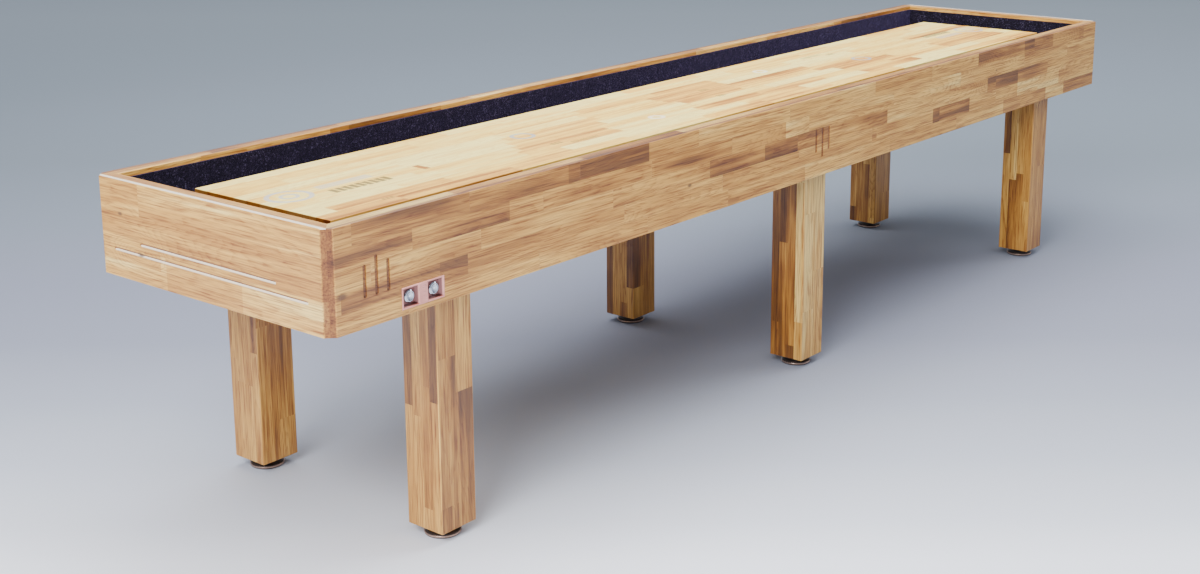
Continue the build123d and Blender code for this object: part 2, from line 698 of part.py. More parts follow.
for letter, x in BUTTON_X.items():
    button_plate -= pocket(x)
    barrel_hole_y = (POCKET_FLOOR_Y - CUT_PAST, TRAY_BACK_Y + CUT_PAST)
    button_plate -= cross_rod(x, BUTTON_PLATE_Z, *barrel_hole_y, BARREL_RADIUS)
    front = POCKET_FLOOR_Y - FLANGE_HEIGHT
    button_bodies.append(
        turned_along_y(
            x,
            (
                (CAP_BORE_RADIUS, front),
                (FLANGE_TOP_RADIUS, front),
                (FLANGE_SHOULDER_RADIUS, front + FLANGE_SHOULDER_DROP),
                (FLANGE_RADIUS, front + FLANGE_RIM_DROP),
                (FLANGE_RADIUS, POCKET_FLOOR_Y),
                (BARREL_RADIUS, POCKET_FLOOR_Y),
                (BARREL_RADIUS, BARREL_END_Y),
                (PLUNGER_HOLE_RADIUS, BARREL_END_Y),
                (PLUNGER_HOLE_RADIUS, END_WALL_Y),
                (CAP_BORE_RADIUS, END_WALL_Y),
            ),
        )
    )
    nut_y = (TRAY_BACK_Y, TRAY_BACK_Y + BARREL_NUT)
    nut = cross_hexagon(x, BUTTON_PLATE_Z, *nut_y, BARREL_NUT_ACROSS_FLATS)
    button_nuts.append(nut - cross_rod(x, BUTTON_PLATE_Z, *nut_y, BARREL_RADIUS))
    cap = turned_along_y(
        x,
        (
            (0, CAP_FACE_Y + CAP_DISH + LENS_DEPTH),
            (LENS_RADIUS, CAP_FACE_Y + CAP_DISH + LENS_DEPTH),
            (LENS_RADIUS, CAP_FACE_Y + CAP_DISH),
            (CAP_RADIUS - CAP_CROWN_WIDTH, CAP_FACE_Y + CAP_DISH / 2),
            (CAP_RADIUS - CAP_EDGE_WIDTH, CAP_FACE_Y),
            (CAP_RADIUS, CAP_FACE_Y + CAP_EDGE_DROP),
            (CAP_RADIUS, CAP_BACK_Y),
            (PLUNGER_RADIUS, CAP_BACK_Y),
            (PLUNGER_RADIUS, PLUNGER_END_Y),
            (0, PLUNGER_END_Y),
        ),
    )
    save(f"button_cap_{letter}", cap)
    lens = turned_along_y(
        x,
        (
            (0, CAP_FACE_Y + LENS_CROWN_DROP),
            (LENS_RADIUS - LENS_SHOULDER_WIDTH, CAP_FACE_Y + LENS_SHOULDER_DROP),
            (LENS_RADIUS, CAP_FACE_Y + CAP_DISH),
            (LENS_RADIUS, CAP_FACE_Y + CAP_DISH + LENS_DEPTH),
            (0, CAP_FACE_Y + CAP_DISH + LENS_DEPTH),
        ),
    )
    save(f"button_lens_{letter}", lens)
    spring_length = END_WALL_Y - CAP_BACK_Y - 2 * SPRING_WIRE_RADIUS
    helix = Helix(spring_length / SPRING_TURNS, spring_length, SPRING_RADIUS)
    section = Plane(origin=helix @ 0, z_dir=helix % 0) * Circle(SPRING_WIRE_RADIUS)
    coil = sweep(section, path=helix, is_frenet=True)
    spring_start = CAP_BACK_Y + SPRING_WIRE_RADIUS
    save(f"button_spring_{letter}", Pos(x, spring_start, BUTTON_PLATE_Z) * Rot(-90, 0, 0) * coil)
    switch = block(
        (x - SWITCH_WIDTH / 2, x + SWITCH_WIDTH / 2),
        (BARREL_END_Y, BARREL_END_Y + SWITCH_LENGTH),
        (BUTTON_PLATE_Z - SWITCH_HEIGHT / 2, BUTTON_PLATE_Z + SWITCH_HEIGHT / 2),
    )
    plunger_y = (BARREL_END_Y, BARREL_END_Y + SWITCH_POCKET)
    switch -= cross_rod(x, BUTTON_PLATE_Z, *plunger_y, PLUNGER_HOLE_RADIUS)
    for terminal in (-1, 1):
        terminal_x = x + terminal * TERMINAL_PITCH / 2
        switch += block(
            (terminal_x - TERMINAL_THICKNESS / 2, terminal_x + TERMINAL_THICKNESS / 2),
            (BARREL_END_Y + SWITCH_LENGTH, BARREL_END_Y + SWITCH_LENGTH + TERMINAL_LENGTH),
            (BUTTON_PLATE_Z - TERMINAL_WIDTH / 2, BUTTON_PLATE_Z + TERMINAL_WIDTH / 2),
        )
    button_switches.append(switch)

save("button_plate", button_plate)
save("button_bodies", *button_bodies)
save("button_nuts", *button_nuts)
save("button_switches", *button_switches)

# -------------------- sealed transmitter that the switches are wired to
TRANSMITTER_LENGTH = 90.0
TRANSMITTER_HEIGHT = 34.0
TRANSMITTER_DEPTH = 26.0
TRANSMITTER_ROUND = 3.0
TRANSMITTER_OFFSET = 110.0
TRANSMITTER_RISE = 8.0
TRANSMITTER_X = BUTTON_PLATE_X - TRANSMITTER_OFFSET

transmitter = block(
    (TRANSMITTER_X - TRANSMITTER_LENGTH / 2, TRANSMITTER_X + TRANSMITTER_LENGTH / 2),
    (-INNER_Y, -INNER_Y + TRANSMITTER_DEPTH),
    (RAIL_BOTTOM + TRANSMITTER_RISE, RAIL_BOTTOM + TRANSMITTER_RISE + TRANSMITTER_HEIGHT),
)
save("score_transmitter", fillet(transmitter.edges().filter_by(Axis.Y), TRANSMITTER_ROUND))
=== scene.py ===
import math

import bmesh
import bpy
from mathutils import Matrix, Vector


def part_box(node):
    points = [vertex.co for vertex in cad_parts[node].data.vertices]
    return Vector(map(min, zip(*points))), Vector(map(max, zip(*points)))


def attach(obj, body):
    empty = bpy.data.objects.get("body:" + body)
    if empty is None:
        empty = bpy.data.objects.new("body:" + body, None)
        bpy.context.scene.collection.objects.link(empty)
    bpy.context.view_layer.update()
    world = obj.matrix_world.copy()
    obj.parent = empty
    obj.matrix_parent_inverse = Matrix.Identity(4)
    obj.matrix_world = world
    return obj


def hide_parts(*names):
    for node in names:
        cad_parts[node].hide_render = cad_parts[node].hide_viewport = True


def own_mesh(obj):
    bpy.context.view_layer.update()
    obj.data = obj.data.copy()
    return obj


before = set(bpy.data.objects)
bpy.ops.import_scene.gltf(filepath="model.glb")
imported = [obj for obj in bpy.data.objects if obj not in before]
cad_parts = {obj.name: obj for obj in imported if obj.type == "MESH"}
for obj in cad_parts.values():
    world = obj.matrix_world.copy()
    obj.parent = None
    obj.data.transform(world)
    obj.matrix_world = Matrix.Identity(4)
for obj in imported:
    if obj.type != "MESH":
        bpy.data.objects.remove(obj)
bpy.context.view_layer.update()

# %% [markdown]
# # A shuffleboard table
# The table is a long oak tray on six square legs. A maple playfield lies in the tray with a carpeted
# gutter all round it, two score buttons sit in the front board, and each leg stands on a screw foot.
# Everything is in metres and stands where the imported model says. X runs along the table, with the
# near end at -X, the front side faces -Y, and Z is up from the floor.

# %% [markdown]
# ## Reading the sizes
# The new pieces have to meet parts that already exist, so every size is read from the box round a part.
# A number typed in twice would drift apart sooner or later.

# %% Sizes of the main parts
FRONT_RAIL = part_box("front_rail")
NEAR_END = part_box("near_end_board")
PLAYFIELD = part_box("playfield")
TOP_Z = FRONT_RAIL[1][2]
RAIL_BOTTOM_Z = FRONT_RAIL[0][2]
FRONT_FACE_Y = FRONT_RAIL[0][1]
NEAR_FACE_X = NEAR_END[0][0]
LEG_PLACES = [(side, station) for side in ("front", "back") for station in ("near", "mid", "far")]
print("table length", round(-2 * NEAR_FACE_X, 3), "height", round(TOP_Z, 3), "on", len(LEG_PLACES), "legs")

# %% [markdown]
# ## Camera
# The camera stands off the near corner of the front side, a little above a standing person's eyes, and
# looks along the table, so the near end looks large and the far end small. It could be aimed with a
# Track To constraint, but a heading, a dip and a small roll say the same thing in three plain numbers,
# and they are turned into three axes for the camera's matrix.

# %% Camera
EYE = Vector((-3.8942, -2.8106, 1.6499))
HEADING, DIP, ROLL = 0.8767, -0.2276, -0.0072

forward = Vector((math.sin(HEADING) * math.cos(DIP), math.cos(HEADING) * math.cos(DIP), math.sin(DIP)))
level_right = Vector((math.cos(HEADING), -math.sin(HEADING), 0))
level_up = level_right.cross(forward)
right = level_right * math.cos(ROLL) + level_up * math.sin(ROLL)
up = level_up * math.cos(ROLL) - level_right * math.sin(ROLL)

camera_data = bpy.data.cameras.new("camera")
camera_data.lens = 49.72
camera_data.sensor_width = 36.0
camera_data.shift_y = -0.10
camera_data.clip_end = 200
camera = bpy.data.objects.new("camera", camera_data)
camera.matrix_world = Matrix.Translation(EYE) @ Matrix((right, up, -forward)).transposed().to_4x4()
bpy.context.scene.collection.objects.link(camera)
bpy.context.scene.camera = camera
print("camera looks along", [round(c, 3) for c in forward])

# %% [markdown]
# ## Floor and light
# The table stands on a wide pale blue-grey studio floor with painted light in its colour: a little darker far
# away, as a paper sweep looks under soft boxes. A disc is enough for that, and its colour follows how far a point
# lies along the view. A wide, soft sun lights all of it evenly, which lamps alone could not. Four big area lights
# do the rest: one above the near end, which makes that end the brightest, one overhead along the table, one
# beyond the far end, and a weak one from behind that touches the top edges.

# %% Maths on sockets
class Wire:
    """One value in a material. Sums and products of wires become Math nodes."""

    def __init__(self, finish, socket):
        self.finish = finish
        self.socket = socket

    def math(self, operation, *others):
        return self.finish.node("ShaderNodeMath", {"operation": operation}, dict(enumerate((self, *others))))

    def __add__(self, other):
        return self.math("ADD", other)

    def __radd__(self, other):
        return self.math("ADD", other)

    def __sub__(self, other):
        return self.math("SUBTRACT", other)

    def __rsub__(self, other):
        return self.finish.node("ShaderNodeMath", {"operation": "SUBTRACT"}, {0: other, 1: self})

    def __mul__(self, other):
        return self.math("MULTIPLY", other)

    def __rmul__(self, other):
        return self.math("MULTIPLY", other)

    def __truediv__(self, other):
        return self.math("DIVIDE", other)

    def __pow__(self, other):
        return self.math("POWER", other)

    def __gt__(self, other):
        return self.math("GREATER_THAN", other)

    def __lt__(self, other):
        return self.math("LESS_THAN", other)

    def __abs__(self):
        return self.math("ABSOLUTE")

    def floor(self):
        return self.math("FLOOR")

    def fract(self):
        return self.math("FRACT")

    def least(self, other):
        return self.math("MINIMUM", other)

    def most(self, other):
        return self.math("MAXIMUM", other)

    def ramp(self, low, high, to_low=0.0, to_high=1.0):
        """A straight ramp from to_low to to_high while the wire goes from low to high."""
        return self.finish.node(
            "ShaderNodeMapRange",
            {"interpolation_type": "SMOOTHSTEP"},
            {"Value": self, "From Min": low, "From Max": high, "To Min": to_low, "To Max": to_high},
        )


# %% [markdown]
# ## How a finish is built
# A material is a graph of nodes. Building it by hand means many lines of links, so a small class does the
# repeated work: one method adds any node, sets it up and fills its sockets, and a few short ones name the
# nodes that every finish here uses.

# %% A class for finishes
class Finish:
    """One material whose Principled BSDF is made first and fed afterwards."""

    def __init__(self, name, **constants):
        self.material = bpy.data.materials.new(name)
        self.material.use_nodes = True
        self.tree = self.material.node_tree
        self.shader = self.tree.nodes["Principled BSDF"]
        for socket_name, value in constants.items():
            self.shader.inputs[socket_name.replace("_", " ").title().replace("Ior", "IOR")].default_value = value

    def node(self, kind, settings=None, sockets=None, output=0):
        """Adds one node, sets it up, fills its sockets, and gives back one of its outputs."""
        made = self.tree.nodes.new(kind)
        for key, value in (settings or {}).items():
            if key == "stops":
                self.fill_ramp(made.color_ramp, value)
            else:
                setattr(made, key, value)
        for key, value in (sockets or {}).items():
            socket = made.inputs[key]
            if isinstance(value, Wire):
                self.tree.links.new(value.socket, socket)
            else:
                socket.default_value = value
        return Wire(self, made.outputs[output])

    def fill_ramp(self, color_ramp, stops):
        while len(color_ramp.elements) < len(stops):
            color_ramp.elements.new(1.0)
        for element, (place, color) in zip(color_ramp.elements, stops):
            element.position = place
            element.color = color

    def place(self):
        """Three wires with the place on the object, in metres."""
        coordinates = self.node("ShaderNodeTexCoord", output="Object")
        return self.split(coordinates)

    def split(self, vector):
        parts = [self.node("ShaderNodeSeparateXYZ", sockets={0: vector}, output=0)]
        separate = parts[0].socket.node
        return parts + [Wire(self, separate.outputs[1]), Wire(self, separate.outputs[2])]

    def join(self, x, y, z):
        return self.node("ShaderNodeCombineXYZ", sockets={0: x, 1: y, 2: z})

    def stretch(self, vector, factors):
        """A vector times a factor for each axis. Patterns on it get finer where the factor is large."""
        return self.node("ShaderNodeVectorMath", {"operation": "MULTIPLY"}, {0: vector, 1: factors})

    def noise(self, vector, scale, detail=2.0, roughness=0.5):
        return self.node(
            "ShaderNodeTexNoise",
            {"noise_dimensions": "3D"},
            {"Vector": vector, "Scale": scale, "Detail": detail, "Roughness": roughness},
            output="Fac",
        )

    def colors(self, value, stops):
        """A colour that follows a value through the given stops."""
        return self.node("ShaderNodeValToRGB", {"stops": stops}, {"Fac": value})

    def mix(self, amount, first, second, blend="MIX"):
        return self.node(
            "ShaderNodeMix",
            {"data_type": "RGBA", "blend_type": blend},
            {"Factor": amount, 6: first, 7: second},
            output=2,
        )

    def feed(self, color=None, roughness=None, bump=None, depth=0.0003, metallic=None, coat=None):
        """Links what varies over the surface to the shader."""
        for socket_name, wire in (
            ("Base Color", color), ("Roughness", roughness), ("Metallic", metallic), ("Coat Weight", coat),
        ):
            if wire is not None:
                self.tree.links.new(wire.socket, self.shader.inputs[socket_name])
        if bump is not None:
            normal = self.node("ShaderNodeBump", sockets={"Strength": 1.0, "Distance": depth, "Height": bump})
            self.tree.links.new(normal.socket, self.shader.inputs["Normal"])
        return self.material


def rgb(red, green, blue):
    """A colour from the 0 to 255 numbers of a swatch, as the light values that nodes work with."""
    linear = [c / 255 / 12.92 if c <= 10 else ((c / 255 + 0.055) / 1.055) ** 2.4 for c in (red, green, blue)]
    return (*linear, 1.0)


print("a mid oak swatch in linear light:", [round(c, 3) for c in rgb(200, 160, 118)])

# %% Floor
FLOOR_RADIUS = 60.0
VIEW_X, VIEW_Y = 0.7686, 0.6397
# painted light: these tones follow the fall of the studio light along the view
FLOOR_STOPS = [
    (-1.75, rgb(240, 244, 253)),
    (-1.48, rgb(230, 234, 245)),
    (-1.27, rgb(202, 207, 219)),
    (-0.92, rgb(172, 178, 192)),
    (-0.50, rgb(149, 155, 170)),
    (0.00, rgb(130, 135, 152)),
    (0.60, rgb(124, 129, 146)),
    (1.40, rgb(120, 128, 142)),
    (2.50, rgb(118, 128, 139)),
    (3.60, rgb(126, 137, 149)),
    (5.30, rgb(136, 147, 159)),
    (7.30, rgb(146, 157, 168)),
]


def floor_finish():
    """Pale blue-grey paper with painted light: it gets darker away from the front of the stage."""
    finish = Finish("studio_floor", roughness=0.9)
    x, y, _ = finish.place()
    nearest, farthest = FLOOR_STOPS[0][0], FLOOR_STOPS[-1][0]
    away = (x * VIEW_X + y * VIEW_Y - nearest) / (farthest - nearest)
    stops = [((at - nearest) / (farthest - nearest), tone) for at, tone in FLOOR_STOPS]
    return finish.feed(color=finish.colors(away, stops))


bpy.ops.object.select_all(action="DESELECT")
bpy.ops.mesh.primitive_circle_add(vertices=96, radius=FLOOR_RADIUS, fill_type="NGON", location=(0, 0, 0))
floor = bpy.context.object
floor.name = "studio_floor"
floor.data.materials.append(floor_finish())
print("floor radius", FLOOR_RADIUS)

# %% Light
KEY_WATTS, OVERHEAD_WATTS, RIM_WATTS = 700, 400, 12
SUN_STRENGTH, WORLD_STRENGTH, FAR_FILL_WATTS = 1.70, 0.64, 120


def area_light(name, place, target, size, watts, seen=True):
    data = bpy.data.lights.new(name, "AREA")
    data.shape = "RECTANGLE"
    data.size, data.size_y = size
    data.energy = watts
    light = bpy.data.objects.new(name, data)
    light.location = place
    light.rotation_euler = (Vector(target) - Vector(place)).to_track_quat("-Z", "Y").to_euler()
    light.visible_camera = seen
    bpy.context.scene.collection.objects.link(light)


SOFT_EDGE = 70
area_light("key", (-6.8, -2.0, 5.0), (-0.6, 0, 0.5), (3.6, 3.6), KEY_WATTS)
area_light("overhead", (0.6, 0.2, 4.6), (0.4, 0, 0.6), (5.5, 3.0), OVERHEAD_WATTS)
area_light("far_fill", (6.4, -3.4, 3.2), (1.6, -0.2, 0.5), (3.2, 2.4), FAR_FILL_WATTS, seen=False)
area_light("rim", (1.2, 4.6, 2.3), (0.2, 0.2, 0.75), (6.5, 1.6), RIM_WATTS, seen=False)
sun_data = bpy.data.lights.new("sky_window", "SUN")
sun_data.energy = SUN_STRENGTH
sun_data.angle = math.radians(SOFT_EDGE)
sun = bpy.data.objects.new("sky_window", sun_data)
sun.rotation_euler = Vector((-0.62, -0.20, 0.76)).to_track_quat("Z", "Y").to_euler()
bpy.context.scene.collection.objects.link(sun)
world = bpy.data.worlds.new("studio")
world.use_nodes = True
world.node_tree.nodes["Background"].inputs["Color"].default_value = rgb(206, 212, 224)
world.node_tree.nodes["Background"].inputs["Strength"].default_value = WORLD_STRENGTH
bpy.context.scene.world = world

# %% [markdown]
# ## Oak glued from staves
# The boards and legs are glued from short oak staves that differ in colour, so they can't share one flat
# wood picture. Each stave here is a small solid block of wood. The place on the object says which stave a
# point is in, random numbers from that stave give it a colour and a pith, which is the tree's centre, and
# growth rings are drawn round the pith. Because the rings are solid, they meet at an edge and show end
# grain where a board is cut across. An image could not do this without seams.

# %% Which stave a point is in
JOINT_SPREAD = 0.75


def staves(finish, length, width, depth, size, seed, group=0.0):
    """The stave round a point: its random numbers, the place inside it, and how near its joints are."""
    stave_length, stave_width, stave_depth = size
    across, through = width / stave_width, depth / stave_depth
    row, layer = across.floor() + group, through.floor()
    row_chance = finish.node(
        "ShaderNodeTexWhiteNoise", {"noise_dimensions": "3D"}, {"Vector": finish.join(row, layer, seed + 0.37)},
        output="Value",
    )
    run = length / stave_length + row_chance * 41.7 + seed * 3.1
    chain = {"W": run, "Scale": 1.0, "Randomness": JOINT_SPREAD}
    middle = finish.node("ShaderNodeTexVoronoi", {"voronoi_dimensions": "1D"}, chain, output="W")
    ends = finish.node(
        "ShaderNodeTexVoronoi", {"voronoi_dimensions": "1D", "feature": "DISTANCE_TO_EDGE"}, chain,
        output="Distance",
    )
    chance = finish.node(
        "ShaderNodeTexWhiteNoise", {"noise_dimensions": "4D"},
        {"Vector": finish.join(row, layer, seed + 1.3), "W": middle}, output="Color",
    )
    inside_width = (across.fract() - 0.5) * stave_width
    inside_depth = (through.fract() - 0.5) * stave_depth
    side_gap = stave_width / 2 - abs(inside_width)
    layer_gap = stave_depth / 2 - abs(inside_depth)
    return {
        "chance": finish.split(chance),
        "across": inside_width,
        "through": inside_depth,
        "from_middle": (run - middle) * stave_length,
        "joint": side_gap.least(ends * stave_length).least(layer_gap),
    }


# %% [markdown]
# Knots bend the rings round them. Where a knot is wanted it is listed, and the rings near it are
# pushed outwards by a soft bump in their distance from the pith, which gives the swirl of a real board.

# %% A knot
def knot(length, width, spot):
    """How much a knot darkens the wood, and how far it pushes the rings, at each point."""
    at_length, at_width, size, swirl = spot
    along = (length - at_length) * 0.5
    across = width - at_width
    distance = (along * along + across * across) ** 0.5
    return distance.ramp(size * 0.3, size, 1.0, 0.0), distance.ramp(0.0, swirl, 0.030, 0.0)


# %% [markdown]
# Some staves are known to be dark heartwood or pale sapwood. A patch names the ends and the edges of such a
# stave and its tone, from 0, the darkest, to 1, the palest.

# %% A patch
def patched(tone, length, width, patches):
    """The tone of each stave, with the given patches set to tones of their own."""
    for (start, end), (low, high), own_tone in patches:
        inside = (length > start) * (length < end) * (width > low) * (width < high)
        tone = tone * (1.0 - inside) + inside * own_tone
    return tone


# %% [markdown]
# Growth rings are cylinders round the pith. The pith lies off the stave and leans a little, so a face shows
# arches where it just touches the rings and straight lines where it cuts through them. Noise bends the rings,
# and their late wood is a narrow dark band at the end of each.

# %% Growth rings
FULL_TURN = 6.283


def growth_rings(finish, stave, grain_place, spots, ring, tilt, bend):
    """Late wood, from 0 to 1, and how much the knots darken the wood."""
    tone_chance, pith_chance, third_chance = stave["chance"]
    turn = pith_chance * FULL_TURN
    away = 0.012 + third_chance * 0.09
    across = stave["across"] - away * turn.math("COSINE") - (tone_chance - 0.5) * tilt * stave["from_middle"]
    through = stave["through"] - away * turn.math("SINE") - (third_chance - 0.5) * tilt * stave["from_middle"]
    radius = (across * across + through * through) ** 0.5
    radius = radius + (finish.noise(grain_place, 3.2, detail=1.0) - 0.5) * bend
    radius = radius + (finish.noise(grain_place, 19.0, detail=2.0) - 0.5) * 0.0050
    knot_dark = 0.0
    for dark, push in spots:
        radius = radius + push
        knot_dark = dark.most(knot_dark)
    rings = (radius / (ring * (0.7 + third_chance * 0.8))).fract()
    return rings ** 3.0 * (1.0 - rings ** 14.0), knot_dark


# %% [markdown]
# A finish for timber puts these together. The stave's tone is mixed with clouds and bands, late wood, fibres
# and pores darken it, and end grain, painted shade in the routed grooves with a painted highlight on surfaces
# there that face up, knots and joints come last. Each kind of timber on the table is one call with its own
# numbers, so they all look cut from the same sort of tree.

# %% Timber
# the first colour is a painted highlight for surfaces near a routed face that look up, the second painted shade
# for the grooves
PAINTED_LIP_HIGHLIGHT, GROOVE_SHADE, KNOT_TONE, JOINT_TONE = (
    rgb(255, 244, 222), rgb(150, 100, 62), rgb(92, 58, 34), rgb(112, 76, 46)
)
GROOVE_DEPTH = 0.012


def timber(
    name, axes, size, tones, line_tone, seed=0.0, centre=(0.0, 0.0, 0.0), ring=0.0036, ring_depth=0.5, pores=0.35,
    tilt=0.16, bend=0.030, base=0.50, spread=0.50, cloud=1.4, streak=1.15, fibres=3.0, joint_depth=0.15,
    knots=(), patches=(), roughness=0.36, coat=0.3, ior=1.47, end_tone=None, mitre=False, face=None, lip_highlight=0.0,
    fold=None, tuned=None, marks=None,
):
    """Glued timber. axes says which of X, Y and Z runs along, across and through the staves."""
    finish = Finish(name, coat_roughness=0.18, ior=ior, coat_weight=coat)
    place = finish.place()
    normal = finish.split(finish.node("ShaderNodeTexCoord", output="Normal"))
    along_axis, _, through_axis = ("XYZ".index(axis) for axis in axes)
    length, width, depth = (place["XYZ".index(axis)] - centre["XYZ".index(axis)] for axis in axes)
    group = 0.0
    if fold:
        length, width, depth, group = fold(place)
    stave = staves(finish, length, width, depth, size, seed, group)
    tone_chance, pith_chance, third_chance = stave["chance"]
    own = finish.join(
        length + tone_chance * 9.0, stave["across"] + pith_chance * 7.0, stave["through"] + third_chance * 5.0
    )
    grain_place = finish.stretch(own, (1.0, 5.0, 5.0))
    spots = [knot(length, width, spot) for spot in knots]
    late, knot_dark = growth_rings(finish, stave, grain_place, spots, ring, tilt, bend)

    # fibres and pores run along the stave as fine dashes
    fine = finish.stretch(own, (9.0, 260.0, 260.0))
    fibre = finish.noise(fine, 1.0, detail=3.0, roughness=0.6)
    pore = finish.noise(fine, 2.6, detail=1.0).ramp(0.58, 0.72) * (0.35 + late * 0.65)
    bands = finish.noise(finish.stretch(own, (1.2, 55.0, 55.0)), 1.0, detail=3.0)
    broad = finish.noise(grain_place, 2.2, detail=3.0)

    # a tone for the stave, clouds and bands inside it, and darker late wood
    tone = patched((tone_chance - 0.5) * spread + base, length, width, patches)
    if tuned:
        tone = tuned(tone, length, depth, group)
    tone = tone + (broad - 0.5) * cloud + (bands - 0.5) * streak
    marked = (late * ring_depth + (fibre - 0.45) * fibres + pore * pores).most(0.0).least(1.0)
    color = finish.mix(marked, finish.colors(tone, tones), line_tone, "MULTIPLY")

    # end grain, painted groove shade and painted lip highlight, knots, joints and print
    if end_tone:
        cut_across = abs(normal[along_axis]).ramp(0.62, 1.0)
        color = finish.mix(cut_across, color, end_tone, "MULTIPLY")
    if face:
        # painted shade: the wood is darker a little way in from the outer face, in the routed grooves
        inwards = abs(place[through_axis]) * -1.0 + face
        cut = inwards.ramp(0.0004, 0.0030) * (inwards < GROOVE_DEPTH)
        color = finish.mix(cut * 0.8, color, GROOVE_SHADE, "MULTIPLY")
        # painted highlight: surfaces near the face that look up are made pale
        color = finish.mix(cut * (normal[2] > 0.12) * lip_highlight, color, PAINTED_LIP_HIGHLIGHT)
    if knots:
        color = finish.mix(knot_dark * 0.85, color, KNOT_TONE)
    joint_line = stave["joint"].ramp(0.0001, 0.0007, 1.0, 0.0)
    if mitre:
        seam = abs(abs(place[0]) - abs(place[1]) - MITRE).ramp(0.0002, 0.0008, 1.0, 0.0)
        joint_line = joint_line.most(seam)
    color = finish.mix(joint_line * joint_depth, color, JOINT_TONE, "MULTIPLY")
    if marks:
        color = marks(finish, place, color, fibre)
    gloss = roughness + late * 0.06 + pore * 0.16 + (fibre - 0.5) * 0.10
    height = 1.0 - pore * 0.6 - late * 0.25 - joint_line * 0.8
    return finish.feed(color=color, roughness=gloss, bump=height, depth=0.00022)


def give(material, *nodes):
    """Gives parts their finish."""
    for node in nodes:
        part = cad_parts[node]
        part.data.materials.clear()
        part.data.materials.append(material)
    print(material.name, "has", len(material.node_tree.nodes), "nodes and covers", len(nodes), "parts")


# %% [markdown]
# ## Oak boards
# The front and back boards are five staves high and the staves run along the table. The end boards are cut
# from wider, longer and calmer staves. The swatches go from dark heartwood to pale sapwood, and most staves
# fall between the two. All four boards meet in mitres, so a thin seam runs through each corner.

# %% Oak swatches
OAK_TONES = [
    (0.00, rgb(122, 76, 26)),
    (0.16, rgb(160, 104, 38)),
    (0.34, rgb(194, 137, 56)),
    (0.58, rgb(218, 165, 76)),
    (0.80, rgb(233, 185, 94)),
    (1.00, rgb(248, 214, 128)),
]
OAK_LINE = rgb(158, 108, 50)
OAK_END = rgb(196, 170, 130)
MITRE = FRONT_FACE_Y - NEAR_FACE_X
STAVE_HEIGHT = (TOP_Z - RAIL_BOTTOM_Z) / 5
print("five staves of", round(STAVE_HEIGHT, 4), "make the height of a board")


# %% Finish of the long boards
def row(number):
    """The lower and upper edge of a stave, counted from the bottom of the board."""
    return (number - 1) * STAVE_HEIGHT, number * STAVE_HEIGHT


RAIL_PATCHES = [
    ((-1.84, -1.30), row(4), 0.34),
    ((-1.84, -1.52), row(2), 0.42),
    ((-1.10, -0.80), row(5), 0.14),
    ((-0.78, -0.20), row(4), 0.30),
    ((-0.30, 0.02), row(3), 0.10),
    ((0.62, 0.86), row(2), 0.06),
    ((0.98, 1.20), row(3), 0.04),
    ((1.24, 1.46), row(5), 0.16),
    ((1.46, 1.84), row(5), 0.36),
    ((1.10, 1.42), row(1), 0.20),
    ((1.20, 1.52), row(2), 0.92),
]
RAIL_KNOTS = [(-1.795, 0.082, 0.010, 0.16), (-0.635, 0.089, 0.006, 0.03), (1.04, 0.155, 0.004, 0.10)]
rail_oak = timber(
    "rail_oak", "XZY", (0.40, STAVE_HEIGHT, 0.9), OAK_TONES, OAK_LINE, centre=(0, 0, RAIL_BOTTOM_Z),
    end_tone=OAK_END, mitre=True, patches=RAIL_PATCHES, knots=RAIL_KNOTS, face=-FRONT_FACE_Y,
)
give(rail_oak, "front_rail", "back_rail")

# %% Finish of the end boards
END_KNOTS = [(0.300, 0.150, 0.006, 0.22), (0.235, 0.066, 0.008, 0.06)]
END_PATCHES = [((0.16, 0.40), (0.04, 0.085), 0.35), ((-0.12, 0.14), (0.0, 0.075), 0.42)]
end_oak = timber(
    "end_oak", "YZX", (0.95, STAVE_HEIGHT * 5 / 3, 0.9), OAK_TONES[2:], OAK_LINE, seed=5.0,
    centre=(0, 0, RAIL_BOTTOM_Z), end_tone=OAK_END, mitre=True, knots=END_KNOTS, patches=END_PATCHES,
    tilt=0.10, ring_depth=0.42, spread=0.25, joint_depth=0.08, face=-NEAR_FACE_X, lip_highlight=0.9, base=0.55,
)
give(end_oak, "near_end_board", "far_end_board")

# %% [markdown]
# ## Legs
# Each leg is glued from upright staves, two across and four layers deep, so its front shows wide staves and
# its sides show narrow ones. One finish serves all six legs: the place on the table is folded back to the
# nearest leg, and the number of that leg changes the random numbers, so no two legs are alike.

# %% Finish of the legs
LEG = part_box("front_leg_mid")
LEG_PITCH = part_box("front_leg_far")[0][0] - LEG[0][0]
LEG_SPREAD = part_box("back_leg_mid")[0][1] - LEG[0][1]
LEG_WIDTH = LEG[1][0] - LEG[0][0]


def fold_to_leg(place):
    """The place measured from the middle of the nearest leg, and a number for that leg."""
    x, y, z = place
    station = (x / LEG_PITCH + 0.5).floor()
    back = y > 0.0
    return z, x - station * LEG_PITCH, y - (back - 0.5) * LEG_SPREAD, station * 16.0 + back * 64.0


def leg_tones_with_painted_shade(tone, height, depth, leg):
    """Painted shade on two legs where the table shades them: one is dark behind a pale front layer, one has a
    dark front layer that is darker still above 0.47 m.
    """
    front_layer = depth < -LEG_WIDTH / 4
    mid_front = (leg > -1.0) * (leg < 1.0)
    near_back = (leg > 47.0) * (leg < 49.0) * front_layer
    # painted shade on the sides of these two legs that lie in the table's shadow
    tone = tone * (1.0 - mid_front) + mid_front * (front_layer * 0.72 + 0.14)
    return tone * (1.0 - near_back) + near_back * (0.36 - (height > 0.47) * 0.2)


